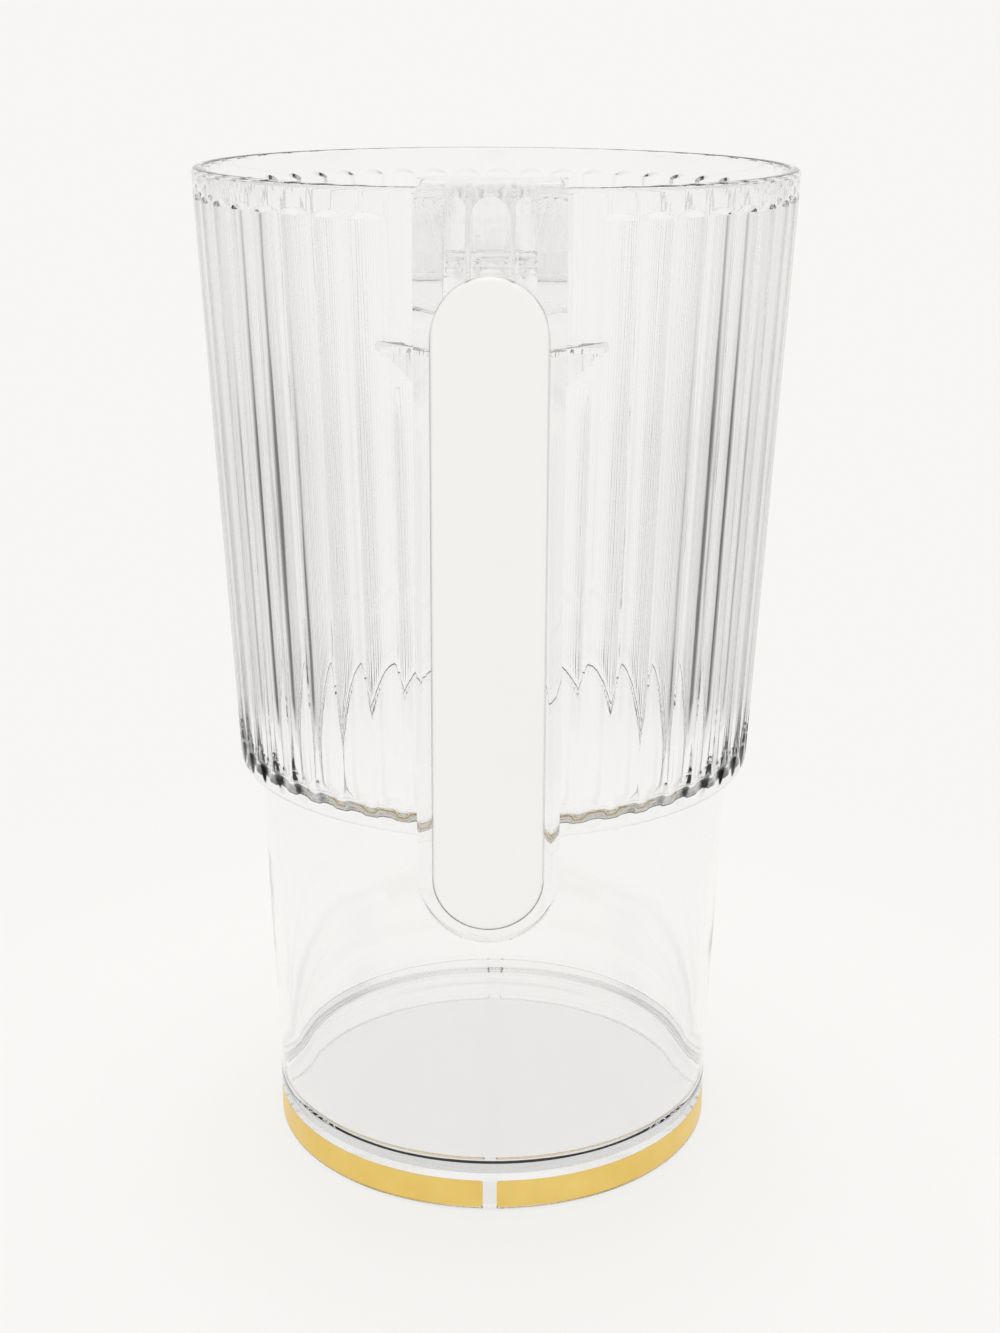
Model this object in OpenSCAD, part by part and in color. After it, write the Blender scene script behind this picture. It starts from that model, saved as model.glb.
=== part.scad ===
// Clear fluted stacking pitcher with a hooked-on handle, a white plaque and a gold foot band.
// The jug turns about +Z and stands on z = 0. The handle is on the -Y side. Millimetres.

/* [Jug] */
// Height of the rim above the table
total_h = 225; // [212:1:240]
// Outer diameter at the rim
rim_d = 130; // [126:0.5:136]
// Height of the stacking step
step_h = 92.6; // [84:0.2:104]
// Outer diameter of the fluted wall at the step
step_d = 117.4; // [114:0.2:120]
// Width of the step, from the fluted wall in to the smooth wall
step_w = 4.4; // [3.6:0.1:5.4]
// Inward lean of the smooth wall from the step to the foot
foot_lean = 2.4; // [1.8:0.1:3.2]
// Thickness of the upper wall, outside the flutes
upper_wall_t = 2.8; // [2.5:0.1:3.2]
// Thickness of the smooth lower wall
lower_wall_t = 2.4; // [2:0.1:2.8]
// Height of the inside floor above the table
floor_z = 11; // [10:0.1:12]
// Thickness of the floor
floor_t = 3; // [2.4:0.1:3.4]
// Radius between the inside floor and the wall
floor_fillet_r = 2.5; // [1:0.1:4]
// Radius on the two edges of the rim
rim_round_r = 1.1; // [0.6:0.1:1.2]
// Chamfer on the lower edge of the fluted wall
step_chamfer = 0.8; // [0.4:0.1:1]
// Rise of the step's underside towards the neck
step_rise = 0.4; // [0.2:0.1:1.2]
// Height of the inside stacking shoulder above the step
shoulder_up = 4.6; // [3.6:0.1:6]
// Fall of that shoulder from its outer to its inner edge
shoulder_fall = 3.2; // [1:0.1:3.4]

/* [Flutes] */
// Number of hollow flutes round the upper wall
flute_count = 50; // [44:2:54]
// Depth of a flute at its middle
flute_depth = 0.9; // [0.5:0.05:1]
// Width of the ridge left between two flutes
ridge_w = 0.9; // [0.7:0.05:1.4]
// Height of the smooth band over the flutes
band_h = 4.8; // [4:0.1:9]
// Length over which a flute runs out at its top
flute_top_run = 1.5; // [1:0.1:3]
// Length over which a flute runs out at its foot
flute_foot_run = 6; // [3:0.1:9]
// Height of the flute's lower tip above the step
flute_foot_gap = 1.4; // [1.1:0.1:3]

/* [Foot] */
// Width of the standing ring
foot_ring_w = 2; // [1.6:0.1:2.6]
// Chamfer outside the standing ring
foot_chamfer = 0.8; // [0.4:0.1:1]
// Chamfer inside the standing ring, under the floor
recess_chamfer = 1.5; // [0.5:0.1:2.5]
// Height of the fine groove over the foot
groove_z = 12.9; // [11.5:0.1:15]
// Width of that groove
groove_w = 1.6; // [1:0.1:2.2]
// Depth of that groove
groove_d = 0.4; // [0.2:0.05:0.6]
// Width of the drain notch under the foot
notch_w = 2.9; // [2:0.1:4]
// Height of the drain notch
notch_h = 0.7; // [0.4:0.05:0.8]

/* [Gold bands] */
// Height of the foil's lower edge
foil_z = 1; // [1:0.1:1.6]
// Height of the foil strip
foil_h = 6.6; // [5:0.1:8]
// Thickness of the foil
foil_t = 0.2; // [0.1:0.05:0.3]
// Gap between the two strips at the front
foil_gap = 3.1; // [2:0.1:6]
// Angle from the front at which each strip ends, past the side
foil_turn = 94; // [90:1:120]

/* [Ledge] */
// Drop of the V ledge that carries the handle, below the rim
ledge_drop = 29; // [25:0.5:35]
// Width of the V ledge at its top
ledge_w = 44; // [40:0.5:46]
// Distance that the ledge stands out from the wall at its top
ledge_out = 5.4; // [4.5:0.1:7]
// Space between the flutes and the V above them
ledge_margin = 1; // [0.5:0.1:4]

/* [Handle] */
// Width of the handle
handle_w = 26.6; // [25:0.2:28]
// Room for the fingers between the rim and the back of the grip
finger_room = 26; // [24:0.5:32]
// Thickness of the upright grip
grip_t = 5; // [4.6:0.1:6]
// Drop of the grip's lower end below the rim
grip_drop = 137.7; // [125:0.1:145]
// Width of the hook over the rim
hook_w = 28; // [27:0.2:30]
// Thickness of the hook over the rim
hook_t = 1.8; // [1.4:0.1:2.4]
// Thickness of the hook's inside leg
leg_t = 2; // [1.6:0.1:2.6]
// Length of the hook's inside leg below the rim
leg_l = 12; // [8:0.5:18]
// Depth of the arm where it leaves the jug
arm_h = 15.3; // [12:0.1:18]
// Radius of the bend on the face side
outer_bend_r = 14; // [11:0.5:14.5]
// Radius of the bend on the finger side
inner_bend_r = 11.5; // [6:0.5:13]
// Width of the flange that lies on the jug
flange_w = 30; // [28:0.5:32]
// Thickness of the flange
flange_t = 2; // [1.6:0.1:2.6]
// Drop of the flange's top edge below the rim
flange_drop = 1; // [0.5:0.1:4]
// Clearance between the handle and the jug
handle_fit = 0.1; // [0.05:0.05:0.3]

/* [Pockets in the arm] */
// Thickness of the skin over the pockets
pocket_skin = 1.4; // [1:0.1:1.8]
// Thickness of the arm's floor under the pockets
pocket_floor_t = 2.7; // [2:0.1:3.5]
// Distance from the jug's wall to the pockets
pocket_start = 3.5; // [2.5:0.1:5]
// Width of the middle pocket
mid_pocket_w = 7; // [5:0.1:7.4]
// Width of each side pocket
side_pocket_w = 3.9; // [3:0.1:4.8]
// Thickness of the rib between two pockets
pocket_rib_t = 0.8; // [0.6:0.05:1]

/* [Plaque] */
// Width of the white plaque
badge_w = 20.7; // [18:0.1:21.4]
// Thickness of the plaque
badge_t = 2.6; // [2.2:0.1:3]
// Drop of the plaque's top below the rim
badge_drop = 12.5; // [12.3:0.1:20]
// Distance from the grip's lower end to the plaque's
badge_end_gap = 2.9; // [2:0.1:4]
// Depth of the plaque's seat in the grip
seat_depth = 2.4; // [2:0.1:2.6]
// Clearance round the plaque
badge_fit = 0.15; // [0.1:0.05:0.3]

/* [Hidden] */

// Steps on a round surface; every circle above twelve is exact
round_fn = 96;
// Points on a rounded corner and on a bend of an outline
corner_steps = 5;
bend_steps = 12;
// Overrun of a cutting tool past the face it opens
overrun = 1;
// Share of a flute's run-out that the cutter goes on past the wall
spare_share = 0.25;

rim_r = rim_d / 2;
step_r = step_d / 2;
neck_r = step_r - step_w;
foot_r = neck_r - foot_lean;
foot_d = 2 * foot_r;
ring_r = foot_r - foot_chamfer;
recess_r = ring_r - foot_ring_w;
recess_z = floor_z - floor_t;
wall_top_z = groove_z + groove_w / 2;
shoulder_z = step_h + shoulder_up;
shoulder_foot_z = shoulder_z - shoulder_fall;
flute_pitch = 360 / flute_count;
flute_foot_z = step_h + flute_foot_gap;
flute_top_z = total_h - band_h;
top_z = total_h + hook_t;
arm_z = top_z - arm_h;
leg_z = total_h - leg_l;
ledge_z = total_h - ledge_drop;
grip_back = rim_r + finger_room;
handle_reach = grip_back + grip_t;
grip_bottom_z = total_h - grip_drop;
badge_top_z = total_h - badge_drop;
flange_top_z = total_h - flange_drop;
bend_x = grip_back - inner_bend_r;
bend_z = arm_z - inner_bend_r;
pocket_top_z = top_z - pocket_skin;
pocket_floor_z = arm_z + pocket_floor_t;
pocket_r = rim_r + pocket_start;
side_pocket_x = mid_pocket_w / 2 + pocket_rib_t + side_pocket_w / 2;
seat_w = badge_w + 2 * badge_fit;
badge_z = grip_bottom_z + badge_end_gap;
badge_back = handle_reach - seat_depth;
pocket_bend_r = inner_bend_r + pocket_floor_t;
// Angle on the bend where the pockets' floor comes out behind the plaque
pocket_turn = acos(min(1, (badge_back - bend_x) / pocket_bend_r));

// Outer radius of the fluted wall, its ridges' tips, at height z
function crest_r(z) = step_r + (rim_r - step_r) * (z - step_h) / (total_h - step_h);

// Inner radius of the upper wall at height z
function bore_r(z) = crest_r(z) - upper_wall_t;

// Outer radius of the smooth lower wall at height z
function lower_r(z) = foot_r + (neck_r - foot_r) * (z - wall_top_z) / (step_h - wall_top_z);

// Distance of the ledge's face from the jug's axis
ledge_reach = crest_r(ledge_z) + ledge_out;

// Points on an elliptical arc about (cx, cz), from angle a0 to angle a1
function arc(cx, cz, ra, rb, a0, a1, steps) = [
    for (i = [0 : steps])
        let (a = a0 + (a1 - a0) * i / steps)
        [cx + ra * cos(a), cz + rb * sin(a)]
];

// Half section of everything inside the outer wall line
function outer_line() = concat(
    [
        [0, 0],
        [ring_r, 0],
        [foot_r, foot_chamfer],
        [foot_r, groove_z - groove_w / 2],
        [foot_r - groove_d, groove_z],
        [lower_r(wall_top_z), wall_top_z],
        [neck_r, step_h + step_rise],
        [step_r - step_chamfer, step_h],
        [crest_r(step_h + step_chamfer), step_h + step_chamfer]
    ],
    arc(rim_r - rim_round_r, total_h - rim_round_r, rim_round_r, rim_round_r, 0, 90, corner_steps),
    [[0, total_h]]
);

// Half section of the space for the drink
function cavity_line() =
    let (
        wall_r = lower_r(floor_z) - lower_wall_t,
        top_r = bore_r(total_h) + rim_round_r
    )
    concat(
        [[0, floor_z]],
        arc(wall_r - floor_fillet_r, floor_z + floor_fillet_r, floor_fillet_r, floor_fillet_r,
            -90, 0, corner_steps),
        [
            [neck_r - lower_wall_t, shoulder_foot_z],
            [bore_r(shoulder_z), shoulder_z],
            [bore_r(total_h - rim_round_r), total_h - rim_round_r]
        ],
        [
            for (i = [1 : corner_steps])
                let (a = 180 - 90 * i / corner_steps)
                [top_r + rim_round_r * cos(a), total_h - rim_round_r + rim_round_r * sin(a)]
        ],
        [[top_r, total_h + overrun], [0, total_h + overrun]]
    );

// Stands an outline drawn as [distance from the axis, height] on the handle's middle plane
module side_sheet(width) {
    rotate([90, 0, -90])
        linear_extrude(height = width, center = true)
            children();
}

// Pushes an outline drawn as [across, height] from distance near to distance far on the handle side
module front_sheet(near, far) {
    translate([0, -near, 0])
        rotate([90, 0, 0])
            linear_extrude(height = far - near)
                children();
}

// Upright strip with a round lower end, and a round upper end if asked
module strip(width, low_z, high_z, round_top) {
    r = width / 2;
    straight_top = round_top ? high_z - r : high_z;
    union() {
        translate([-r, low_z + r])
            square([width, straight_top - low_z - r]);
        translate([0, low_z + r])
            circle(r = r, $fn = round_fn);
        if (round_top)
            translate([0, high_z - r])
                circle(r = r, $fn = round_fn);
    }
}

// One flute cutter: a long cone along the wall with a short run-out at each end
module flute_cutter(top) {
    lean = atan((rim_r - step_r) / (total_h - step_h));
    length = (top - flute_foot_z) / cos(lean);
    foot_w = 2 * crest_r(flute_foot_z) * sin(flute_pitch / 2) - ridge_w;
    top_w = 2 * crest_r(top) * sin(flute_pitch / 2) - ridge_w;
    foot_cut = chord_r(foot_w, crest_r(flute_foot_z));
    top_cut = chord_r(top_w, crest_r(top));
    growth = (top_cut - foot_cut) / length;
    end_drop = flute_depth * (1 + spare_share);
    low = -flute_foot_run * spare_share;
    high = length + flute_top_run * spare_share;
    // The extra lean keeps the cone's near side at the full depth all the way up
    translate([crest_r(flute_foot_z) + foot_cut - flute_depth, 0, flute_foot_z])
        rotate([0, lean + atan(growth), 0])
            rotate_extrude($fn = round_fn)
                polygon([
                    [0, low],
                    [foot_cut + growth * low - end_drop, low],
                    [foot_cut + growth * flute_foot_run, flute_foot_run],
                    [top_cut - growth * flute_top_run, length - flute_top_run],
                    [foot_cut + growth * high - end_drop, high],
                    [0, high]
                ]);
}

// Every second flute from number first on; neighbours are cut apart because their cutters overlap
module flute_row(first) {
    for (k = [first : 2 : flute_count - 1])
        rotate([0, 0, -90 + k * flute_pitch])
            flute_cutter(flute_end(k));
}

// Radius of the cutter that leaves a flute of width w and full depth on a wall of radius r
function chord_r(w, r) =
    let (s = flute_depth - w * w / (8 * r))
    (w * w / 4 + s * s) / (2 * s);

// Top of flute number k: the band, or the underside of the V where it crosses the flute
function flute_end(k) =
    let (
        turn = flute_pitch * min(k, flute_count - k),
        across = crest_r(ledge_z) * sin(min(turn, 90)),
        v_half = ledge_w / 2,
        under_v = across < v_half - ridge_w - ledge_margin
    )
    under_v ? ledge_z - (v_half - across) - ledge_margin : flute_top_z;

// V ledge, with a flat face and a flat top
module ledge() {
    front_sheet(neck_r, ledge_reach)
        polygon([
            [-ledge_w / 2, ledge_z],
            [0, ledge_z - ledge_w / 2],
            [ledge_w / 2, ledge_z]
        ]);
}

// Hollow under the floor, inside the standing ring
module foot_recess() {
    rotate_extrude($fn = round_fn)
        polygon([
            [0, -overrun],
            [recess_r, -overrun],
            [recess_r, recess_z - recess_chamfer],
            [recess_r - recess_chamfer, recess_z],
            [0, recess_z]
        ]);
}

// One foil strip, and the seat that it fills: side is -1 for left and 1 for right
module foil_strip(side) {
    intersection() {
        difference() {
            translate([0, 0, foil_z])
                cylinder(h = foil_h, r = foot_r, $fn = round_fn);
            translate([0, 0, foil_z - overrun])
                cylinder(h = foil_h + 2 * overrun, r = foot_r - foil_t, $fn = round_fn);
        }
        linear_extrude(height = foil_z + foil_h + overrun)
            polygon([
                [side * foil_gap / 2, 0],
                [side * foil_gap / 2, -foot_d],
                [side * foot_d, -foot_d],
                [side * foot_d * sin(foil_turn), -foot_d * cos(foil_turn)]
            ]);
    }
}

module pitcher_body() {
    color([0.92, 0.94, 0.95, 0.35])
    difference() {
        union() {
            difference() {
                difference() {
                    rotate_extrude($fn = round_fn)
                        polygon(outer_line());
                    flute_row(0);
                }
                flute_row(1);
            }
            ledge();
        }
        rotate_extrude($fn = round_fn)
            polygon(cavity_line());
        foot_recess();
        translate([-notch_w / 2, -foot_d, -overrun])
            cube([notch_w, 2 * foot_d, notch_h + overrun]);
        foil_strip(-1);
        foil_strip(1);
    }
}

// Ring of the jug's upper wall, grown by the handle's clearance, from low_z to the rim
module wall_ring(low_z) {
    high_z = total_h + handle_fit;
    rotate_extrude($fn = round_fn)
        polygon([
            [bore_r(low_z) - handle_fit, low_z],
            [crest_r(low_z) + handle_fit, low_z],
            [crest_r(high_z) + handle_fit, high_z],
            [bore_r(high_z) - handle_fit, high_z]
        ]);
}

// Curved plate that follows the wall: from inset inside the bore to outset past the ridges
module wall_plate(width, inset, outset, low_z, high_z) {
    intersection() {
        rotate_extrude($fn = round_fn)
            polygon([
                [bore_r(low_z) - inset, low_z],
                [crest_r(low_z) + outset, low_z],
                [crest_r(high_z) + outset, high_z],
                [bore_r(high_z) - inset, high_z]
            ]);
        translate([-width / 2, -2 * rim_r, low_z])
            cube([width, 2 * rim_r, high_z - low_z]);
    }
}

// Side view of the arm, its bend and the upright grip
function grip_line() = concat(
    [[bore_r(arm_z), arm_z], [bore_r(arm_z), top_z]],
    arc(handle_reach - outer_bend_r, top_z - outer_bend_r, outer_bend_r, outer_bend_r,
        90, 0, bend_steps),
    [[handle_reach, grip_bottom_z], [grip_back, grip_bottom_z]],
    arc(bend_x, bend_z, inner_bend_r, inner_bend_r, 0, 90, bend_steps)
);

// Side view of the pockets' cut, open to the front
function pocket_line() = concat(
    [
        [pocket_r, pocket_floor_z],
        [pocket_r, pocket_top_z],
        [handle_reach + overrun, pocket_top_z],
        [handle_reach + overrun, bend_z + pocket_bend_r * sin(pocket_turn)]
    ],
    arc(bend_x, bend_z, pocket_bend_r, pocket_bend_r, pocket_turn, 90, bend_steps)
);

// One pocket: the side view's cut, narrowed to a slot with an arched top
module pocket(across, width) {
    intersection() {
        side_sheet(handle_w)
            polygon(pocket_line());
        translate([across, 0, 0])
            front_sheet(rim_r, handle_reach + 2 * overrun)
                strip(width, badge_top_z - handle_w, pocket_top_z, true);
    }
}

module handle_frame() {
    color([0.93, 0.94, 0.95, 0.35])
    difference() {
        union() {
            intersection() {
                side_sheet(handle_w)
                    polygon(grip_line());
                front_sheet(neck_r, handle_reach + overrun)
                    strip(handle_w, grip_bottom_z, top_z, false);
            }
            wall_plate(hook_w, handle_fit + leg_t, handle_fit + flange_t, flange_top_z, top_z);
            wall_plate(hook_w, handle_fit + leg_t, 0, leg_z, top_z);
            wall_plate(flange_w, 0, handle_fit + flange_t, ledge_z, flange_top_z);
        }
        wall_ring(step_h);
        pocket(0, mid_pocket_w);
        pocket(-side_pocket_x, side_pocket_w);
        pocket(side_pocket_x, side_pocket_w);
        front_sheet(badge_back, handle_reach + overrun)
            strip(seat_w, badge_z - badge_fit, badge_top_z + badge_fit, true);
    }
}

module handle_badge() {
    color([0.95, 0.95, 0.94])
    front_sheet(badge_back, badge_back + badge_t)
        strip(badge_w, badge_z, badge_top_z, true);
}

module gold_band_left() {
    color([0.85, 0.69, 0.36])
    foil_strip(-1);
}

module gold_band_right() {
    color([0.85, 0.69, 0.36])
    foil_strip(1);
}

pitcher_body();
handle_frame();
handle_badge();
gold_band_left();
gold_band_right();
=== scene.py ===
# %% [markdown]
# A clear beer pitcher, injection moulded in one piece of hard transparent plastic. Hollow flutes run
# down its upper wall, a step takes it in to a smooth lower wall, and a strip of gold foil is stamped
# round the foot. A second clear moulding hooks over the rim as the handle, with a white plaque in it.
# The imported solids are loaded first, because every piece here has to lie where they are.

# %% Load the frame
import math

import bmesh
import bpy
import numpy as np
from mathutils import Matrix, Vector


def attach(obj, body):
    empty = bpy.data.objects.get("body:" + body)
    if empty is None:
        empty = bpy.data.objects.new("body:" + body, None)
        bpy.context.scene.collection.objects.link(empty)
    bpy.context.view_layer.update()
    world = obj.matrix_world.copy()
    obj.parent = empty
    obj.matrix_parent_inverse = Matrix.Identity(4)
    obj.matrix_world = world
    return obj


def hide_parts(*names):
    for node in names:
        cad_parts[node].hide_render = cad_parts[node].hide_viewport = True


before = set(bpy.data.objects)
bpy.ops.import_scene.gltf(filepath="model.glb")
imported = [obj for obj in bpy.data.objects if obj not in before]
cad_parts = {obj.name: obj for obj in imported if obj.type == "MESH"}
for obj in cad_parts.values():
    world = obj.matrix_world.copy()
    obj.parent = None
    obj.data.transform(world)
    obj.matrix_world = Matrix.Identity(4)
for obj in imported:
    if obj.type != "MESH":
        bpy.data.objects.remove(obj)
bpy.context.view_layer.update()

print("nodes", sorted(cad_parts))

# %% [markdown]
# Sizes are written in millimetres, as a maker would read them off a drawing, and become metres only
# when a mesh is made. The jug's axis is Z, its foot stands on z = 0 and the handle is on the -Y side.

# %% Sizes of the jug
MM = 0.001
RIM_Z, RIM_R = 225.0, 65.0
STEP_Z, STEP_R, NECK_R = 92.6, 58.7, 54.3
FOOT_R, FLOOR_TOP, FLOOR_UNDER = 51.9, 11.0, 8.0
UPPER_WALL, LOWER_WALL = 2.8, 2.4
GROOVE_LOW, GROOVE_HIGH, GROOVE_DEPTH = 12.1, 13.7, 0.42
FOIL_LOW, FOIL_HIGH, FOIL_T, FOIL_HALF_GAP = 1.0, 7.6, 0.2, 1.55
FOIL_TURN = math.radians(93.9)


def crest(z):
    """Outer radius of the fluted wall at height z, on its ridges."""
    return STEP_R + (RIM_R - STEP_R) * (z - STEP_Z) / (RIM_Z - STEP_Z)


def smooth(z):
    """Outer radius of the smooth lower wall at height z."""
    return FOOT_R + (NECK_R - FOOT_R) * (z - GROOVE_HIGH) / (STEP_Z - GROOVE_HIGH)


print("bore at the rim", round(crest(RIM_Z) - UPPER_WALL, 2), "mm")

# %% [markdown]
# Four small helpers. The first makes a mesh object out of lists, with its faces turned outwards. The
# second runs whatever modifiers an object has and keeps the result as a plain mesh, and the third uses
# it to join or cut two meshes with an exact Boolean. The fourth adds a node to a tree with its settings
# and its links, for materials and Geometry Nodes alike.

# %% Mesh and node helpers
def make_object(name, points, faces):
    """A mesh object from points in millimetres, with doubles merged and faces turned outwards."""
    mesh = bpy.data.meshes.new(name)
    mesh.from_pydata([tuple(c * MM for c in p) for p in points], [], faces)
    shape = bmesh.new()
    shape.from_mesh(mesh)
    bmesh.ops.remove_doubles(shape, verts=shape.verts, dist=1e-7)
    bmesh.ops.dissolve_degenerate(shape, edges=shape.edges, dist=1e-7)
    bmesh.ops.recalc_face_normals(shape, faces=shape.faces)
    shape.to_mesh(mesh)
    shape.free()
    thing = bpy.data.objects.new(name, mesh)
    bpy.context.scene.collection.objects.link(thing)
    return thing


def bake(thing):
    """Replaces an object's mesh by what its modifiers make of it, and removes them."""
    bpy.context.view_layer.update()
    graph = bpy.context.evaluated_depsgraph_get()
    result = bpy.data.meshes.new_from_object(thing.evaluated_get(graph))
    thing.modifiers.clear()
    thing.data = result
    return thing


def combine(thing, tool, how):
    """Boolean of two closed meshes; the tool is used up."""
    step = thing.modifiers.new("cut", "BOOLEAN")
    step.operation, step.solver, step.object = how, "EXACT", tool
    bake(thing)
    bpy.data.objects.remove(tool)
    return thing


def add(tree, kind, wires=None, **settings):
    """Adds a node, applies its settings, and fills or links its inputs."""
    made = tree.nodes.new(kind)
    for key, value in settings.items():
        setattr(made, key, value)
    for key, value in (wires or {}).items():
        if isinstance(value, bpy.types.Node):
            value = value.outputs[0]
        if isinstance(value, bpy.types.NodeSocket):
            tree.links.new(value, made.inputs[key])
        else:
            made.inputs[key].default_value = value
    return made


# %% [markdown]
# The camera stands where the photographer stood: about 44 cm from the jug and a little above its rim,
# looking down by 18 degrees. The lens is longer than a normal one, so the jug tapers only a little.

# %% Camera
def turned_camera(place, pitch, roll, yaw):
    """World matrix of a camera at place, in millimetres, with its angles in degrees."""
    pitch, roll, yaw = (math.radians(a) for a in (pitch, roll, yaw))
    ahead = Vector((math.sin(yaw) * math.cos(pitch), math.cos(yaw) * math.cos(pitch), -math.sin(pitch)))
    side = Vector((math.cos(yaw), -math.sin(yaw), 0))
    over = side.cross(ahead)
    right = math.cos(roll) * side + math.sin(roll) * over
    up = -math.sin(roll) * side + math.cos(roll) * over
    turn = Matrix((right, up, -ahead)).transposed().to_4x4()
    return Matrix.Translation(Vector(place) * MM) @ turn


camera = bpy.data.objects.new("camera", bpy.data.cameras.new("camera"))
bpy.context.scene.collection.objects.link(camera)
camera.matrix_world = turned_camera((4.59, -442.0, 254.0), 17.845, 0.283, -0.421)
camera.data.sensor_width = 36.0
camera.data.lens = 36.0 * 2000 / 1333
camera.data.clip_start, camera.data.clip_end = 0.01, 50.0
bpy.context.scene.camera = camera
print("camera at", [round(c, 3) for c in camera.location])

# %% [markdown]
# Colours are written as the sRGB values that a colour picker reads, and turned to linear light once.
# The clear plastic is styrene-acrylonitrile: hard, water clear and glossy, with an index of 1.57, so
# every wall has strong edges. It comes off a polished steel mould, so it is almost free of texture: the
# faint ripple and uneven gloss are those of a big moulding that cooled unevenly. The flutes of the mould
# were cut and polished lengthwise, and the fine marks that this left draw the light out into streaks.

# %% Clear plastic
def hex_colour(text):
    """Linear RGBA from an sRGB hex value."""
    parts = [int(text[i:i + 2], 16) / 255 for i in (0, 2, 4)]
    return [c / 12.92 if c <= 0.04045 else ((c + 0.055) / 1.055) ** 2.4 for c in parts] + [1.0]


def new_material(name):
    """A material with its Principled shader, ready for nodes."""
    made = bpy.data.materials.new(name)
    made.use_nodes = True
    return made, made.node_tree, made.node_tree.nodes["Principled BSDF"]


clear, tree, shader = new_material("moulded_clear_styrene")
shader.inputs["Base Color"].default_value = hex_colour("FEFEFE")
shader.inputs["Transmission Weight"].default_value = 1.0
shader.inputs["IOR"].default_value = 1.57
place = add(tree, "ShaderNodeTexCoord").outputs["Object"]
# Flow ripple about 25 mm across, and gloss that varies over about 8 mm
ripple = add(tree, "ShaderNodeTexNoise", {"Vector": place, "Scale": 1 / (25 * MM), "Detail": 2.0})
gloss = add(tree, "ShaderNodeTexNoise", {"Vector": place, "Scale": 1 / (8 * MM), "Detail": 4.0})
span = add(tree, "ShaderNodeMapRange", {"Value": gloss, "From Min": 0.3, "From Max": 0.7,
                                         "To Min": 0.0, "To Max": 0.03})
tree.links.new(span.outputs[0], shader.inputs["Roughness"])
bump = add(tree, "ShaderNodeBump", {"Strength": 0.25, "Distance": 0.25 * MM, "Height": ripple})
# Polishing marks 1.4 mm apart and 70 mm long, two hundredths deep, only on the fluted wall
MARK_GAP, MARK_LENGTH = 1.4 * MM, 70 * MM
long_way = add(tree, "ShaderNodeMapping", {"Vector": place,
                                           "Scale": (1 / MARK_GAP, 1 / MARK_GAP, 1 / MARK_LENGTH)})
marks = add(tree, "ShaderNodeTexNoise", {"Vector": long_way, "Scale": 1.0, "Detail": 1.0})
height = add(tree, "ShaderNodeSeparateXYZ", {0: place}).outputs["Z"]
fluted = add(tree, "ShaderNodeMapRange", {"Value": height, "From Min": 94 * MM, "From Max": 99 * MM})
fine = add(tree, "ShaderNodeMath", {0: marks, 1: fluted}, operation="MULTIPLY")
streaks = add(tree, "ShaderNodeBump", {"Strength": 1.0, "Distance": 0.02 * MM, "Height": fine,
                                       "Normal": bump})
tree.links.new(streaks.outputs[0], shader.inputs["Normal"])
# The plastic takes up about half of the light over 250 mm, which greys the long ways along a wall
greying = add(tree, "ShaderNodeVolumeAbsorption", {"Color": hex_colour("BCBDBE"),
                                                   "Density": 2 * math.log(2) / (250 * MM)})
tree.links.new(greying.outputs[0], tree.nodes["Material Output"].inputs["Volume"])
print("material", clear.name)

# %% [markdown]
# The jug is a turned shape, so it starts as one closed line spun round the axis: under the floor, round
# the foot, up the outside, over the rim and down the inside. A modifier could spin it, but then the
# columns of the mesh would be evenly spaced, and here each column is placed on purpose: the edges of a
# ridge need one each, or the flutes would look soft. The rows are close together where flutes end.

# %% Half section of the jug
FLUTES, RIDGE = 50, 0.9


def round_corner(centre_r, centre_z, radius, start, end, steps):
    """Points on a rounded corner of the section."""
    angles = np.radians(np.linspace(start, end, steps + 1))
    return [(centre_r + radius * math.cos(a), centre_z + radius * math.sin(a)) for a in angles]


ring_in = FOOT_R - 2.8
section = [(0, FLOOR_UNDER), (20, FLOOR_UNDER), (ring_in - 1.5, FLOOR_UNDER), (ring_in, FLOOR_UNDER - 1.5)]
section += [(ring_in, 1.0)] + round_corner(ring_in + 0.4, 0.4, 0.4, 180, 270, 2)
section += round_corner(FOOT_R - 0.7, 0.7, 0.7, 270, 360, 3) + [(FOOT_R, FOIL_LOW - 0.05)]
foil_rows = [(FOOT_R - FOIL_T, FOIL_LOW), (FOOT_R - FOIL_T, FOIL_HIGH)]
section += foil_rows + [(FOOT_R, FOIL_HIGH + 0.05), (FOOT_R, 10.0), (FOOT_R, GROOVE_LOW - 0.2)]
section += [(FOOT_R - 0.08, GROOVE_LOW), (FOOT_R - GROOVE_DEPTH, GROOVE_LOW + 0.35),
            (FOOT_R - GROOVE_DEPTH, GROOVE_HIGH - 0.35), (smooth(GROOVE_HIGH) - 0.08, GROOVE_HIGH),
            (smooth(GROOVE_HIGH + 0.2), GROOVE_HIGH + 0.2)]
section += [(smooth(z), z) for z in (30, 50, 70, 91.6)]
section += [(NECK_R + 0.15, STEP_Z - 0.05), (NECK_R + 0.8, STEP_Z + 0.15)]
section += round_corner(STEP_R - 1.1, STEP_Z + 1.1, 1.1, 270, 357, 5)
rows = [94.0, 94.3, 94.6, 95.0, 95.4, 95.9, 96.4, 97.0, 97.6, 98.3, 99.0, 99.7, 100.4, 101.2, 115, 135, 155,
        170, 171.4, 171.9, 172.4, 172.9, 173.4, 179.4, 179.9, 180.4, 180.9, 181.4, 187.3, 187.8, 188.3, 188.8,
        189.3, 195, 205, 213, 217.8]
rows += list(np.arange(218.4, 220.5, 0.22)) + [221.5]
section += [(crest(z), z) for z in rows]
section += round_corner(crest(223.9) - 1.1, 223.9, 1.1, 0, 90, 5)
bore = crest(223.9) - UPPER_WALL
section += round_corner(bore + 1.1, 223.9, 1.1, 90, 180, 5)
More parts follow.
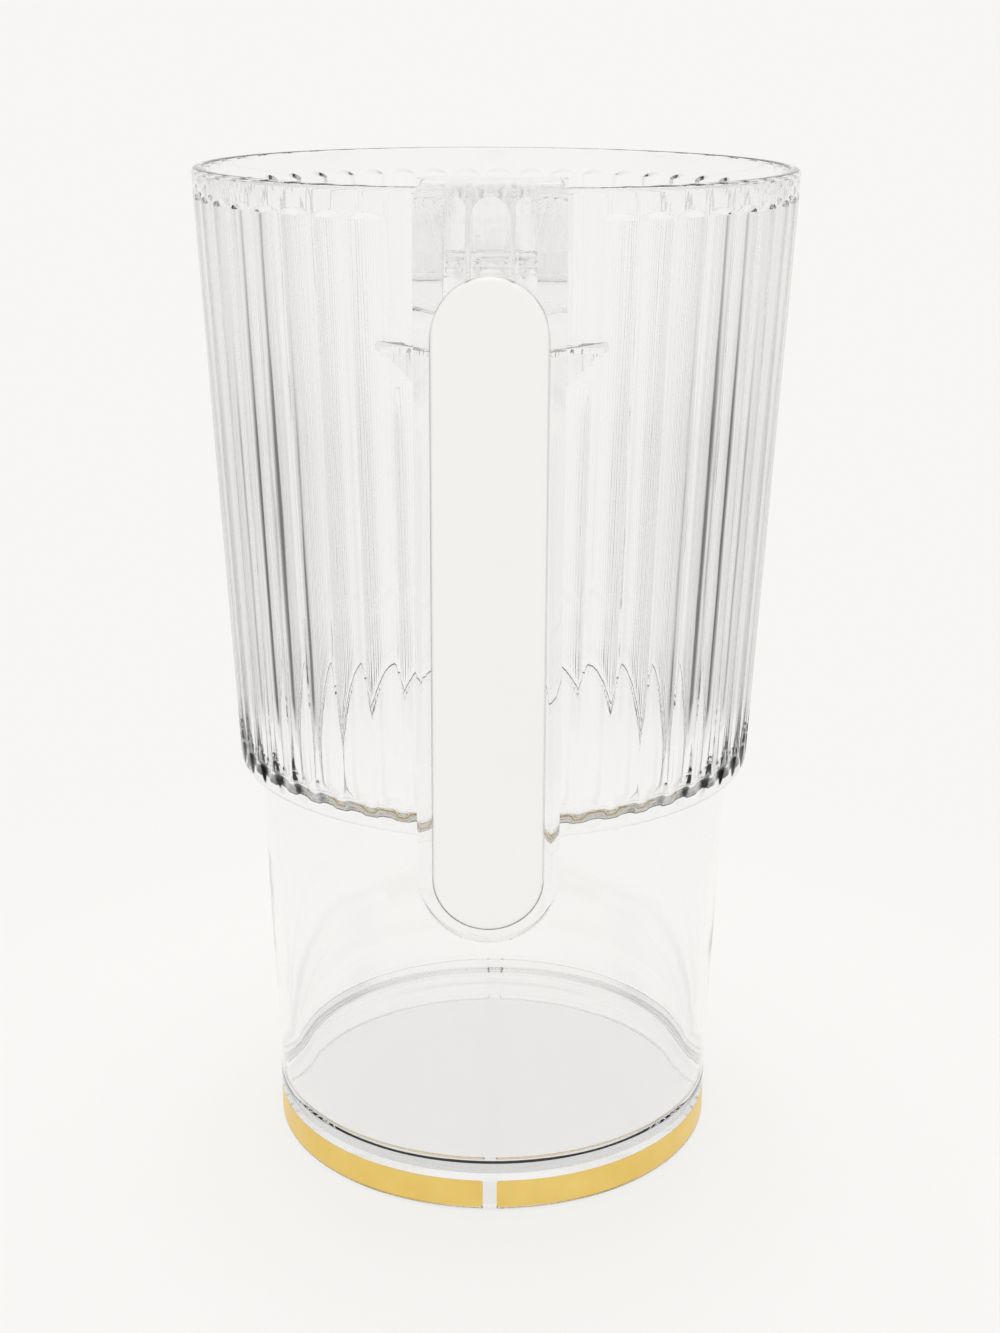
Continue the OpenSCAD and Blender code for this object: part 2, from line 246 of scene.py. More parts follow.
section += [(crest(z) - UPPER_WALL, z) for z in (205, 150, 110)]
section += round_corner(crest(98.4) - UPPER_WALL - 0.9, 98.0, 0.9, 0, -45, 2)
section += round_corner(NECK_R - LOWER_WALL + 1.0, 93.6, 1.0, 125, 178, 3)
section += [(smooth(z) - LOWER_WALL, z) for z in (80, 50, 25)]
wall_in = smooth(FLOOR_TOP) - LOWER_WALL
section += round_corner(wall_in - 2.5, FLOOR_TOP + 2.5, 2.5, 0, -90, 6) + [(20, FLOOR_TOP), (0, FLOOR_TOP)]
print(len(section), "points on the section")

# %% Spin the section into one closed mesh
pitch = 2 * math.pi / FLUTES
edge = 0.5 - 0.5 * RIDGE / (pitch * 62)
columns = []
for k in range(FLUTES):
    for share in list(np.linspace(-edge, edge, 13)) + [(edge + 0.5) / 2, 0.5, 1 - (edge + 0.5) / 2]:
        columns.append((k + share) * pitch)
columns = np.array(columns)


def spin(name, section, columns):
    """Spins a section round Z; angle 0 is the handle's side. Its first and last point are on the axis."""
    points, faces = [], []
    n = len(columns)
    for r, z in section[1:-1]:
        points += [(r * math.sin(a), -r * math.cos(a), z) for a in columns]
    points += [(0, 0, section[0][1]), (0, 0, section[-1][1])]
    low, high = len(points) - 2, len(points) - 1
    for i in range(len(section) - 3):
        row, above = i * n, (i + 1) * n
        faces += [(row + j, row + (j + 1) % n, above + (j + 1) % n, above + j) for j in range(n)]
    last = (len(section) - 3) * n
    faces += [(low, (j + 1) % n, j) for j in range(n)]
    faces += [(high, last + j, last + (j + 1) % n) for j in range(n)]
    return make_object(name, points, faces)


jug = spin("clear_jug", section, columns)
print("jug", len(jug.data.vertices), "points")

# %% [markdown]
# The foil is stamped on in two strips that run from a plain gap at the front to just past the sides. The
# wall has a hair's depth less under them, and a drain notch crosses the standing ring at the front and at
# the back, so that water can run out from under the jug in a dishwasher. Both are made by moving points.

# %% Foil gaps and drain notches
for v in jug.data.vertices:
    x, y, z = (c / MM for c in v.co)
    r = math.hypot(x, y)
    plain = abs(x) < FOIL_HALF_GAP or math.atan2(abs(x), -y) > FOIL_TURN
    if plain and FOIL_LOW - 0.01 < z < FOIL_HIGH + 0.01 and r > FOOT_R - 0.3:
        v.co.x, v.co.y = v.co.x * FOOT_R / r, v.co.y * FOOT_R / r
    if abs(x) < 1.45 and z < 0.69 and r > 40:
        v.co.z = 0.7 * MM
jug.data.update()
foot = max(math.hypot(v.co.x, v.co.y) for v in jug.data.vertices if v.co.z < 10 * MM)
print("foot radius", round(foot / MM, 2), "mm")

# %% [markdown]
# Flutes repeat and follow a rule, so Geometry Nodes carve them. For each point of the outer wall the
# tree finds the nearest flute, how far the point is from that flute's middle line, and how deep the
# cutter is there. The cutter is round, so the depth falls with the square of that distance, and it runs
# out at both ends: short and steep under the rim, which gives a low arch, long and shallow above the
# step, which gives a rounded tongue. The middle five flutes end sooner, under the V that holds the handle.

# %% Flute carver
carver = bpy.data.node_groups.new("flute_carver", "GeometryNodeTree")
sizes = {"Flutes": float(FLUTES), "Depth": 0.9 * MM, "Ridge": RIDGE * MM, "Foot": 94.0 * MM,
         "Foot Run": 6.0 * MM, "Top": 220.2 * MM, "Top Run": 1.5 * MM, "V Point": 174.0 * MM,
         "V Margin": 1.0 * MM, "V Flutes": 2.4}
carver.interface.new_socket("Geometry", in_out="INPUT", socket_type="NodeSocketGeometry")
sockets = {name: carver.interface.new_socket(name, in_out="INPUT", socket_type="NodeSocketFloat")
           for name in sizes}
sockets["Skin"] = carver.interface.new_socket("Skin", in_out="INPUT", socket_type="NodeSocketMaterial")
carver.interface.new_socket("Geometry", in_out="OUTPUT", socket_type="NodeSocketGeometry")
given = carver.nodes.new("NodeGroupInput").outputs
spot = add(carver, "ShaderNodeSeparateXYZ", {0: add(carver, "GeometryNodeInputPosition")}).outputs
back = add(carver, "ShaderNodeMath", {0: spot["Y"], 1: -1.0}, operation="MULTIPLY")
turn = add(carver, "ShaderNodeMath", {0: spot["X"], 1: back}, operation="ARCTAN2")
flat = add(carver, "ShaderNodeCombineXYZ", {"X": spot["X"], "Y": spot["Y"]})
radius = add(carver, "ShaderNodeVectorMath", {0: flat}, operation="LENGTH").outputs["Value"]
pitch_angle = add(carver, "ShaderNodeMath", {0: 2 * math.pi, 1: given["Flutes"]}, operation="DIVIDE")
ratio = add(carver, "ShaderNodeMath", {0: turn, 1: pitch_angle}, operation="DIVIDE")
number = add(carver, "ShaderNodeMath", {0: ratio}, operation="ROUND")
off_share = add(carver, "ShaderNodeMath", {0: ratio, 1: number}, operation="SUBTRACT")
off_angle = add(carver, "ShaderNodeMath", {0: off_share, 1: pitch_angle}, operation="MULTIPLY")
off = add(carver, "ShaderNodeMath", {0: off_angle, 1: radius}, operation="MULTIPLY")
half_pitch = add(carver, "ShaderNodeMath", {0: pitch_angle, 1: radius}, operation="MULTIPLY")
width = add(carver, "ShaderNodeMath", {0: half_pitch, 1: given["Ridge"]}, operation="SUBTRACT")
print(len(carver.nodes), "nodes find each point's flute")

# %% Where each flute ends, and how deep it is
middle = add(carver, "ShaderNodeMath", {0: number, 1: pitch_angle}, operation="MULTIPLY")
sine = add(carver, "ShaderNodeMath", {0: middle}, operation="SINE")
across = add(carver, "ShaderNodeMath", {0: sine, 1: radius}, operation="MULTIPLY")
reach = add(carver, "ShaderNodeMath", {0: across}, operation="ABSOLUTE")
under = add(carver, "ShaderNodeMath", {0: given["V Point"], 1: given["V Margin"]}, operation="SUBTRACT")
v_top = add(carver, "ShaderNodeMath", {0: under, 1: reach}, operation="ADD")
count = add(carver, "ShaderNodeMath", {0: number}, operation="ABSOLUTE")
is_v = add(carver, "ShaderNodeMath", {0: count, 1: given["V Flutes"]}, operation="LESS_THAN")
top = add(carver, "ShaderNodeMix", {"Factor": is_v, "A": given["Top"], "B": v_top})
from_top = add(carver, "ShaderNodeMath", {0: top, 1: spot["Z"]}, operation="SUBTRACT")
from_foot = add(carver, "ShaderNodeMath", {0: spot["Z"], 1: given["Foot"]}, operation="SUBTRACT")
top_share = add(carver, "ShaderNodeMath", {0: from_top, 1: given["Top Run"]}, operation="DIVIDE")
foot_share = add(carver, "ShaderNodeMath", {0: from_foot, 1: given["Foot Run"]}, operation="DIVIDE")
least = add(carver, "ShaderNodeMath", {0: top_share, 1: foot_share}, operation="MINIMUM")
full = add(carver, "ShaderNodeMath", {0: least, 1: 1.0}, operation="MINIMUM")
twice = add(carver, "ShaderNodeMath", {0: off, 1: 2.0}, operation="MULTIPLY")
side = add(carver, "ShaderNodeMath", {0: twice, 1: width}, operation="DIVIDE")
fall = add(carver, "ShaderNodeMath", {0: side, 1: 2.0}, operation="POWER")
carved = add(carver, "ShaderNodeMath", {0: full, 1: fall}, operation="SUBTRACT")
kept = add(carver, "ShaderNodeMath", {0: carved, 1: 0.0}, operation="MAXIMUM")
outside = add(carver, "GeometryNodeInputNamedAttribute", {"Name": "outer"})
wall_only = add(carver, "ShaderNodeMath", {0: kept, 1: outside}, operation="MULTIPLY")
depth = add(carver, "ShaderNodeMath", {0: wall_only, 1: given["Depth"]}, operation="MULTIPLY")
inwards = add(carver, "ShaderNodeVectorMath", {0: flat}, operation="NORMALIZE")
backwards = add(carver, "ShaderNodeMath", {0: depth, 1: -1.0}, operation="MULTIPLY")
shift = add(carver, "ShaderNodeVectorMath", {0: inwards, "Scale": backwards}, operation="SCALE")
moved = add(carver, "GeometryNodeSetPosition", {"Geometry": given["Geometry"], "Offset": shift})
solid = add(carver, "GeometryNodeRealizeInstances", {"Geometry": moved})
painted = add(carver, "GeometryNodeSetMaterial", {"Geometry": solid, "Material": given["Skin"]})
add(carver, "NodeGroupOutput", {"Geometry": painted})
print(len(carver.nodes), "nodes in the carver")

# %% Carve the jug
outer = jug.data.attributes.new("outer", "FLOAT", "POINT")
co = np.zeros(len(jug.data.vertices) * 3)
jug.data.vertices.foreach_get("co", co)
co = co.reshape(-1, 3) / MM
off_crest = np.abs(np.hypot(co[:, 0], co[:, 1]) - crest(co[:, 2]))
on_wall = (co[:, 2] > 93.9) & (co[:, 2] < 221) & (off_crest < 0.3)
outer.data.foreach_set("value", on_wall.astype(float))
step = jug.modifiers.new("flutes", "NODES")
step.node_group = carver
for name, value in sizes.items():
    step[sockets[name].identifier] = value
step[sockets["Skin"].identifier] = clear
bake(jug)
print("jug has", len(jug.data.polygons), "faces,", int(on_wall.sum()), "points on the fluted wall")

# %% [markdown]
# The handle rests on a V-shaped ledge that is moulded on the wall. Its face is flat and its edges are
# eased, which shows as a thin line beside each edge. It is laid out in columns across the wall, so that
# its back can follow the round wall and stay inside it, and then joined to the jug by a Boolean.

# %% Ledge for the handle
LEDGE_Z, LEDGE_HALF, LEDGE_OUT, EASE = 196.0, 22.0, crest(196.0) + 5.4, 0.75
points, faces = [], []
stops = np.linspace(-LEDGE_HALF, LEDGE_HALF, 45)
for x in stops:
    low = LEDGE_Z - LEDGE_HALF + abs(x)
    half = (LEDGE_Z - low) / 2
    ease = min(EASE * 1.4, half)
    top_ease = min(EASE, half)
    deep_low, deep_high = (math.sqrt((crest(z) - 1.6) ** 2 - x * x) for z in (low, LEDGE_Z))
    points += [(x, -deep_low, low), (x, -LEDGE_OUT + top_ease, low), (x, -LEDGE_OUT, low + ease),
               (x, -LEDGE_OUT, LEDGE_Z - top_ease), (x, -LEDGE_OUT + top_ease, LEDGE_Z),
               (x, -deep_high, LEDGE_Z)]
for i in range(len(stops) - 1):
    faces += [(6 * i + j, 6 * i + (j + 1) % 6, 6 * i + 6 + (j + 1) % 6, 6 * i + 6 + j) for j in range(6)]
faces += [tuple(range(6)), tuple(6 * (len(stops) - 1) + j for j in range(6))]
ledge = make_object("ledge", points, faces)
combine(jug, ledge, "UNION")
for face in jug.data.polygons:
    face.use_smooth = True
jug.data.set_sharp_from_angle(angle=math.radians(40))
jug.data.materials.clear()
jug.data.materials.append(clear)
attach(jug, "root")
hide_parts("pitcher_body")
print("jug and ledge", len(jug.data.polygons), "faces")

# %% [markdown]
# The handle is a flat moulding, drawn in two views as a mould maker would: from the side, where it
# turns down from the rim into the grip, and from the front, where its lower end is round. Each view is
# pushed through the other and only what both cover is kept. Curved plates hook it over the rim.

# %% Sizes and views of the handle
GRIP_FRONT, GRIP_BACK, HALF_W, END_Z, TOP_Z, ARM_Z = 96.0, 91.0, 13.3, 87.3, 226.8, 211.5
OUT_BEND, IN_BEND, FIT = 14.0, 11.5, 0.1
SEAT_BACK, BADGE_HALF, BADGE_LOW, BADGE_HIGH = 93.6, 10.35, 90.2, 212.5


def bend(centre_u, centre_z, radius, start, end, steps=16):
    """Points on a bend of a side view."""
    return round_corner(centre_u, centre_z, radius, start, end, steps)


def side_block(name, outline, half_width):
    """Closed block from a side view, drawn as distance out from the axis and height."""
    n = len(outline)
    points = [(s * half_width, -u, z) for s in (-1, 1) for u, z in outline]
    faces = [(j, (j + 1) % n, n + (j + 1) % n, n + j) for j in range(n)]
    return make_object(name, points, faces + [tuple(range(n)), tuple(range(2 * n - 1, n - 1, -1))])


def front_block(name, outline, near, far):
    """Closed block from a front view, drawn as place across and height."""
    n = len(outline)
    points = [(x, -u, z) for u in (near, far) for x, z in outline]
    faces = [(j, (j + 1) % n, n + (j + 1) % n, n + j) for j in range(n)]
    return make_object(name, points, faces + [tuple(range(n)), tuple(range(2 * n - 1, n - 1, -1))])


def stadium(half, low, high, steps=24):
    """Outline of an upright strip with two round ends."""
    bottom = round_corner(0, low + half, half, 180, 360, steps)
    return bottom + round_corner(0, high - half, half, 0, 180, steps)


def plate(name, half, inner, outer, low, high, steps=16):
    """Closed plate that follows the round wall, between two radii that may change with height."""
    points, faces = [], []
    for x in np.linspace(-half, half, steps + 1):
        for r, z in ((inner(low), low), (outer(low), low), (outer(high), high), (inner(high), high)):
            points.append((x, -math.sqrt(r * r - x * x), z))
    for i in range(steps):
        faces += [(4 * i + j, 4 * i + (j + 1) % 4, 4 * i + 4 + (j + 1) % 4, 4 * i + 4 + j) for j in range(4)]
    faces += [(0, 1, 2, 3), tuple(4 * steps + j for j in range(4))]
    return make_object(name, points, faces)


grip_side = [(60.0, ARM_Z), (60.0, TOP_Z)] + bend(GRIP_FRONT - OUT_BEND, TOP_Z - OUT_BEND, OUT_BEND, 90, 0)
grip_side += [(GRIP_FRONT, END_Z - 2), (GRIP_BACK, END_Z - 2)]
grip_side += bend(GRIP_BACK - IN_BEND, ARM_Z - IN_BEND, IN_BEND, 0, 90)
grip_front = round_corner(0, END_Z + HALF_W, HALF_W, 180, 360, 40)
grip_front += round_corner(HALF_W - 1, TOP_Z - 1, 1.0, 0, 90, 4)
grip_front += round_corner(-HALF_W + 1, TOP_Z - 1, 1.0, 90, 180, 4)
print(len(grip_side), "and", len(grip_front), "points in the two views")

# %% Grip, arm and hook
handle = side_block("clear_handle", grip_side, 20.0)
combine(handle, front_block("front_view", grip_front, 50.0, 110.0), "INTERSECT")
flange = plate("flange", 15.0, lambda z: crest(z) - 1.5, lambda z: crest(z) + FIT + 2.0, LEDGE_Z, 224.0)
combine(handle, flange, "UNION")
hook = plate("hook", 14.0, lambda z: crest(z) - UPPER_WALL - FIT - 2.0, lambda z: crest(z) + FIT + 1.95,
             213.0, TOP_Z - 0.02)
combine(handle, hook, "UNION")
wall_room = plate("wall_room", 19.0, lambda z: crest(z) - UPPER_WALL - FIT, lambda z: crest(z) + FIT,
                  150.0, RIM_Z + FIT)
combine(handle, wall_room, "DIFFERENCE")
under_room = plate("under_room", 19.0, lambda z: crest(z) - 12, lambda z: crest(z) - 1.0, 150.0, 213.0)
combine(handle, under_room, "DIFFERENCE")
print("handle", len(handle.data.polygons), "faces")

# %% [markdown]
# Thick plastic sinks as it cools, so the arm is cored out: three pockets run in from its face, with thin
# ribs between them, and come out above the plaque. The plaque itself sits in a shallow seat. Each
# pocket is the side view of the core pushed through its front view, and the bevel widens its mouth.

# %% Pockets and seat
CORE = IN_BEND + 2.7
core_turn = math.degrees(math.acos((SEAT_BACK - (GRIP_BACK - IN_BEND)) / CORE))
core_side = [(68.5, ARM_Z + 2.7), (68.5, TOP_Z - 1.4), (98.0, TOP_Z - 1.4)]
core_side += [(98.0, ARM_Z - IN_BEND + CORE * math.sin(math.radians(core_turn)))]
core_side += bend(GRIP_BACK - IN_BEND, ARM_Z - IN_BEND, CORE, core_turn, 90)
for middle_x, half in ((0.0, 3.5), (-6.25, 1.95), (6.25, 1.95)):
    arch = [(middle_x + x, z) for x, z in stadium(half, 185.0, TOP_Z - 1.4)]
    core = side_block("core", core_side, 12.0)
    combine(core, front_block("core_front", arch, 60.0, 100.0), "INTERSECT")
    combine(handle, core, "DIFFERENCE")
seat = stadium(BADGE_HALF + 0.15, BADGE_LOW - 0.15, BADGE_HIGH + 0.15, 40)
combine(handle, front_block("seat", seat, SEAT_BACK, 99.0), "DIFFERENCE")
print("handle with pockets", len(handle.data.polygons), "faces")

# %% [markdown]
# No moulded edge is sharp: a bevel of a little over half a millimetre takes every hard edge off the
# handle. That small radius bends the light from all sides into one thin line, which is how the eye finds
# an edge in clear plastic.

# %% Ease the edges of the handle
clean = bmesh.new()
clean.from_mesh(handle.data)
bmesh.ops.remove_doubles(clean, verts=clean.verts, dist=0.01 * MM)
bmesh.ops.dissolve_limit(clean, angle_limit=math.radians(1), verts=clean.verts, edges=clean.edges)
clean.to_mesh(handle.data)
clean.free()
ease = handle.modifiers.new("ease", "BEVEL")
ease.width, ease.segments, ease.limit_method, ease.angle_limit = 0.6 * MM, 3, "ANGLE", math.radians(40)
ease.use_clamp_overlap = True
bake(handle)
for face in handle.data.polygons:
    face.use_smooth = True
handle.data.set_sharp_from_angle(angle=math.radians(35))
handle.data.materials.clear()
handle.data.materials.append(clear)
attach(handle, "root")
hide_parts("handle_frame")
print("finished handle", len(handle.data.polygons), "faces")

# %% [markdown]
# The plaque is a strip of white polystyrene with a high gloss, pressed into its seat. It is laid out as
# rings that follow its outline: up the edge, round the eased rim, and in over its flat face.

# %% Plaque
# The plaque reaches a hair into the floor of its seat, so that no light gets behind it
rings = [(0.0, SEAT_BACK - 0.05), (0.0, 95.75), (0.12, 96.0), (0.4, 96.14), (0.8, 96.2), (3.0, 96.2),
         (6.0, 96.2), (9.0, 96.2)]
points, faces = [], []
for inset, out in rings:
    line = stadium(BADGE_HALF - inset, BADGE_LOW + inset, BADGE_HIGH - inset, 40)
    points += [(x, -out, z) for x, z in line]
n = len(line)
for i in range(len(rings) - 1):
    faces += [(i * n + j, i * n + (j + 1) % n, i * n + n + (j + 1) % n, i * n + n + j) for j in range(n)]
faces += [tuple(range(n)), tuple((len(rings) - 1) * n + j for j in range(n))]
plaque = make_object("plaque", points, faces)
for face in plaque.data.polygons:
    face.use_smooth = True
plaque.data.set_sharp_from_angle(angle=math.radians(40))
print("plaque", len(plaque.data.polygons), "faces")

# %% Gloss white polystyrene
white, tree, shader = new_material("gloss_white_polystyrene")
shader.inputs["IOR"].default_value = 1.59
shader.inputs["Coat Weight"].default_value = 0.25
place = add(tree, "ShaderNodeTexCoord").outputs["Object"]
# Pigment varies by under one percent over about 12 mm, gloss over about 2 mm
cloud = add(tree, "ShaderNodeTexNoise", {"Vector": place, "Scale": 1 / (12 * MM), "Detail": 3.0})
tint = add(tree, "ShaderNodeMix", {"Factor": cloud, "A": hex_colour("F3F3F2"), "B": hex_colour("F0F0EF")},
           data_type="RGBA")
tree.links.new(tint.outputs["Result"], shader.inputs["Base Color"])
grain = add(tree, "ShaderNodeTexNoise", {"Vector": place, "Scale": 1 / (2 * MM), "Detail": 4.0})
span = add(tree, "ShaderNodeMapRange", {"Value": grain, "To Min": 0.2, "To Max": 0.26})
tree.links.new(span.outputs[0], shader.inputs["Roughness"])
bump = add(tree, "ShaderNodeBump", {"Strength": 0.3, "Distance": 0.004 * MM, "Height": grain})
tree.links.new(bump.outputs[0], shader.inputs["Normal"])
plaque.data.materials.append(white)
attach(plaque, "root")
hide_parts("handle_badge")
print("material", white.name)

# %% [markdown]
# The foil is a stamping foil: a film of metal so thin that it takes the shape of the wall, with rounded
# corners where the stamp ends. It reaches a hair into the wall here, so that no light gets between them.

# %% Foil strips
def foil_strip(name, side):
    """One strip of the foil, from the front gap to just past the side, with rounded corners."""
    start = math.asin(FOIL_HALF_GAP / FOOT_R)
    corner = 0.8
    runs = [corner * (1 - math.cos(t)) for t in np.linspace(0, math.pi / 2, 6)]
    near = [start + run / FOOT_R for run in runs]
    turns = near + list(np.linspace(near[-1], FOIL_TURN + start - near[-1], 80))[1:-1]
    turns += [FOIL_TURN + start - t for t in near[::-1]]
    points, faces = [], []
    for t in turns:
        run = min(corner, min(t - start, FOIL_TURN - t) * FOOT_R)
        cut = corner - math.sqrt(max(0.0, corner ** 2 - (corner - run) ** 2))
        for r, z in ((FOOT_R - 0.23, FOIL_LOW + cut), (FOOT_R, FOIL_LOW + cut), (FOOT_R, FOIL_HIGH - cut),
                     (FOOT_R - 0.23, FOIL_HIGH - cut)):
            points.append((side * r * math.sin(t), -r * math.cos(t), z))
    for i in range(len(turns) - 1):
        faces += [(4 * i + j, 4 * i + (j + 1) % 4, 4 * i + 4 + (j + 1) % 4, 4 * i + 4 + j) for j in range(4)]
    faces += [(0, 1, 2, 3), tuple(4 * (len(turns) - 1) + j for j in range(4))]
    return make_object(name, points, faces)


foils = [foil_strip("foil_left", -1), foil_strip("foil_right", 1)]
for foil in foils:
    for face in foil.data.polygons:
        face.use_smooth = True
    foil.data.set_sharp_from_angle(angle=math.radians(40))
print("foil strips", [len(foil.data.polygons) for foil in foils])

# %% Hot-stamped gold foil
gold, tree, shader = new_material("hot_stamped_gold_foil")
shader.inputs["Metallic"].default_value = 1.0
place = add(tree, "ShaderNodeTexCoord").outputs["Object"]
cloud = add(tree, "ShaderNodeTexNoise", {"Vector": place, "Scale": 1 / (9 * MM), "Detail": 4.0})
tone = add(tree, "ShaderNodeMix", {"Factor": cloud, "A": hex_colour("E6C264"), "B": hex_colour("F7DA84")},
           data_type="RGBA")
tree.links.new(tone.outputs["Result"], shader.inputs["Base Color"])
# Rolling marks run along the strip, about 0.3 mm apart up the wall
marks = add(tree, "ShaderNodeMapping", {"Vector": place, "Scale": (0.05 / MM, 0.05 / MM, 1 / (0.3 * MM))})
lines = add(tree, "ShaderNodeTexNoise", {"Vector": marks, "Scale": 1.0, "Detail": 2.0})
span = add(tree, "ShaderNodeMapRange", {"Value": lines, "To Min": 0.26, "To Max": 0.42})
tree.links.new(span.outputs[0], shader.inputs["Roughness"])
bump = add(tree, "ShaderNodeBump", {"Strength": 0.25, "Distance": 0.02 * MM, "Height": lines})
tree.links.new(bump.outputs[0], shader.inputs["Normal"])
for foil, node_name in zip(foils, ("gold_band_left", "gold_band_right")):
    foil.data.materials.append(gold)
    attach(foil, "root")
    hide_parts(node_name)
print("material", gold.name)

# %% [markdown]
# The jug stands on white paper in a white studio, and the camera, the metal and the plastic all see that
# white. The light that falls on matt faces comes mostly from above, from the front and from behind. Near
# the jug the paper is a real surface that takes its shadow, and farther out it fades into the light.

# %% Paper and studio
PAPER = hex_colour("F7F6F4")


def studio_light(tree):
    """Strength that is full overhead, before and behind the jug, and low beside it."""
    place = add(tree, "ShaderNodeTexCoord").outputs["Object"]
    way = add(tree, "ShaderNodeVectorMath", {0: place}, operation="NORMALIZE")
    half = add(tree, "ShaderNodeVectorMath", {0: way}, operation="ABSOLUTE")
    along = add(tree, "ShaderNodeVectorMath", {0: half, 1: (0.0, 1.0, 1.4)}, operation="DOT_PRODUCT")
    along = along.outputs["Value"]
    return add(tree, "ShaderNodeMapRange", {"Value": along, "From Max": 0.55, "To Min": 0.05},
               interpolation_type="SMOOTHSTEP")


def white_where_seen(tree, level):
    """The same level, but full for what the camera, mirrors and clear plastic see."""
    seen = add(tree, "ShaderNodeLightPath").outputs
    direct = add(tree, "ShaderNodeMath", {0: level, 1: seen["Is Camera Ray"]}, operation="MAXIMUM")
    mirrored = add(tree, "ShaderNodeMath", {0: direct, 1: seen["Is Glossy Ray"]}, operation="MAXIMUM")
    return add(tree, "ShaderNodeMath", {0: mirrored, 1: seen["Is Transmission Ray"]}, operation="MAXIMUM")


world = bpy.data.worlds.new("studio")
world.use_nodes = True
bpy.context.scene.world = world
sky = world.node_tree.nodes["Background"]
sky.inputs["Color"].default_value = PAPER
strength = white_where_seen(world.node_tree, studio_light(world.node_tree))
world.node_tree.links.new(strength.outputs[0], sky.inputs["Strength"])

paper, tree, shader = new_material("white_paper")
shader.inputs["Base Color"].default_value = hex_colour("F4F3F1")
shader.inputs["Roughness"].default_value = 0.9
shader.inputs["Specular IOR Level"].default_value = 0.1
place = add(tree, "ShaderNodeTexCoord").outputs["Object"]
far = add(tree, "ShaderNodeVectorMath", {0: place}, operation="LENGTH").outputs["Value"]
# The light on the sides falls off between 0.12 and 0.5 m from the jug
away = add(tree, "ShaderNodeMapRange", {"Value": far, "From Min": 0.12, "From Max": 0.5},
           interpolation_type="SMOOTHSTEP")
level = add(tree, "ShaderNodeMix", {"Factor": away, "A": 1.0, "B": studio_light(tree)})
glow = add(tree, "ShaderNodeEmission", {"Color": PAPER, "Strength": white_where_seen(tree, level)})
fade = add(tree, "ShaderNodeMapRange", {"Value": far, "From Min": 0.06, "From Max": 0.24, "To Min": 0.8},
           interpolation_type="SMOOTHSTEP")
blend = add(tree, "ShaderNodeMixShader", {0: fade, 1: shader, 2: glow})
tree.links.new(blend.outputs[0], tree.nodes["Material Output"].inputs["Surface"])
disc = [(6000 * math.cos(a), 6000 * math.sin(a), -0.05) for a in np.linspace(0, 2 * math.pi, 65)[:-1]]
floor = make_object("paper", disc, [tuple(range(64))])
floor.data.materials.append(paper)
print("paper", paper.name)

# %% [markdown]
# Clear plastic has no colour of its own: it shows what is behind it, and its edges show what is beside
# it. On pure white it would all but vanish, so a photographer of glass stands a dark card to its left and
# one to its right, just outside the picture, and each flute gathers a thin line of that dark. These cards
# are bent round the jug and graded, dark in the middle and white where they end, so that no edge of a
# card shows. They throw no shadow and are hidden from the camera, wherever it looks from.

# %% Graded cards beside the jug
CARD_R, CARD_TOP, CARD_TURN = 240.0, 420.0, 76
CARD_DARK, CARD_GREY, CARD_FADE = 0.14, 0.88, 35.0
card, tree, shader = new_material("graded_card")
spot = add(tree, "ShaderNodeSeparateXYZ", {0: add(tree, "ShaderNodeTexCoord").outputs["Object"]}).outputs
reach = add(tree, "ShaderNodeMath", {0: spot["Y"]}, operation="ABSOLUTE")
turned = add(tree, "ShaderNodeMath", {0: reach, 1: CARD_R * MM}, operation="DIVIDE")
raised = add(tree, "ShaderNodeMapRange", {"Value": spot["Z"], "From Min": 120 * MM,
                                          "From Max": CARD_TOP * MM})
lowered = add(tree, "ShaderNodeMapRange", {"Value": spot["Z"], "From Min": CARD_FADE * MM, "From Max": 0.0})
ends = add(tree, "ShaderNodeMath", {0: raised, 1: lowered}, operation="ADD")
along = add(tree, "ShaderNodeMath", {0: turned, 1: ends}, operation="ADD")
middle = add(tree, "ShaderNodeMapRange", {"Value": along, "From Max": 0.41, "To Min": CARD_DARK},
             interpolation_type="SMOOTHSTEP")
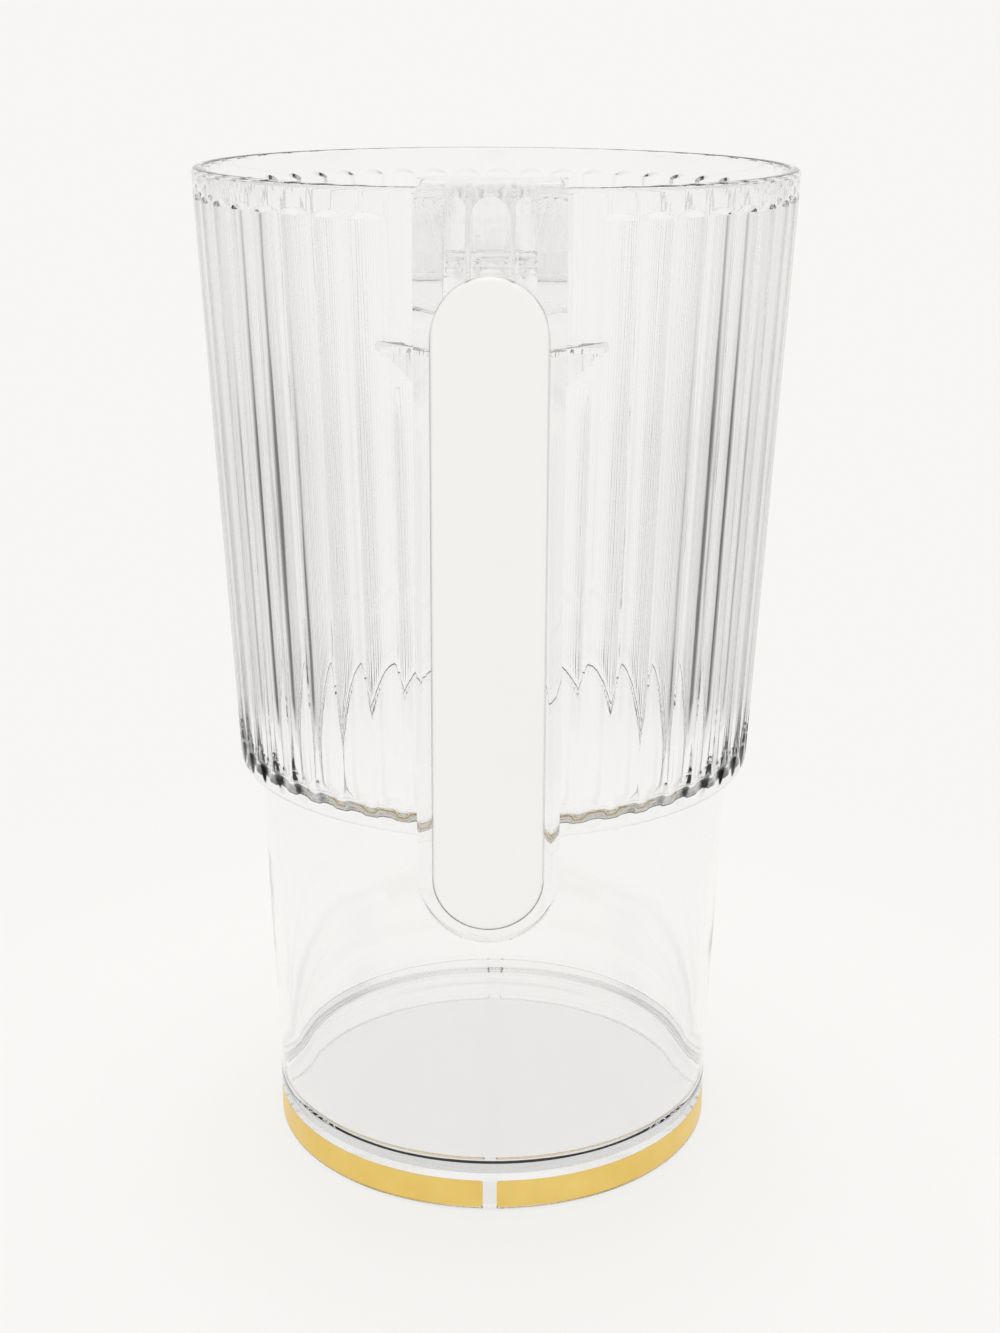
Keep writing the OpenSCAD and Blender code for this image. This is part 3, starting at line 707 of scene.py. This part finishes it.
border = add(tree, "ShaderNodeMapRange", {"Value": along, "From Min": 0.8, "From Max": 0.97,
                                          "To Min": CARD_GREY}, interpolation_type="SMOOTHSTEP")
level = add(tree, "ShaderNodeMath", {0: middle, 1: border}, operation="MULTIPLY")
glow = add(tree, "ShaderNodeEmission", {"Color": PAPER, "Strength": level})
tree.links.new(glow.outputs[0], tree.nodes["Material Output"].inputs["Surface"])
for name, side in (("card_left", -1), ("card_right", 1)):
    turns = np.radians(np.linspace(-CARD_TURN, CARD_TURN, 39))
    points = [(side * CARD_R * math.cos(t), CARD_R * math.sin(t), z) for t in turns for z in (0.0, CARD_TOP)]
    faces = [(2 * i, 2 * i + 1, 2 * i + 3, 2 * i + 2) for i in range(len(turns) - 1)]
    screen = make_object(name, points, faces)
    screen.data.materials.append(card)
    screen.visible_camera, screen.visible_diffuse, screen.visible_shadow = False, False, False
print("cards", CARD_TOP, "mm high")

# %% [markdown]
# The white studio gives most of the light, and three weak soft boxes model the matt pieces: one on each
# side of the camera, and one above, which lays the soft shadow round the foot. Each is a square area lamp,
# the nearest thing that Blender has to a cloth-fronted box.

# %% Lamps
def softbox(name, place, size, power):
    """A square area lamp that looks at the middle of the jug."""
    lamp = bpy.data.lights.new(name, "AREA")
    lamp.shape, lamp.size, lamp.energy = "SQUARE", size, power
    thing = bpy.data.objects.new(name, lamp)
    thing.location = place
    thing.rotation_euler = (Vector((0, 0, 0.11)) - Vector(place)).to_track_quat("-Z", "Y").to_euler()
    # Its square shape would stand as a white patch in every clear face, so no face shows it
    thing.visible_glossy, thing.visible_transmission = False, False
    bpy.context.scene.collection.objects.link(thing)
    return thing


lamps = [softbox("left_box", (-0.7, -1.0, 1.0), 1.1, 1.5), softbox("right_box", (0.7, -1.0, 1.0), 1.1, 1.2),
         softbox("top_box", (0.0, 0.3, 1.3), 0.8, 6.0)]
# Light runs inside a clear wall from face to face, so it is followed for longer than usual
bpy.context.scene.cycles.max_bounces = 28
bpy.context.scene.cycles.glossy_bounces = 20
bpy.context.scene.cycles.transmission_bounces = 24
bpy.context.scene.view_settings.view_transform = "Standard"
print(len(lamps), "lamps")
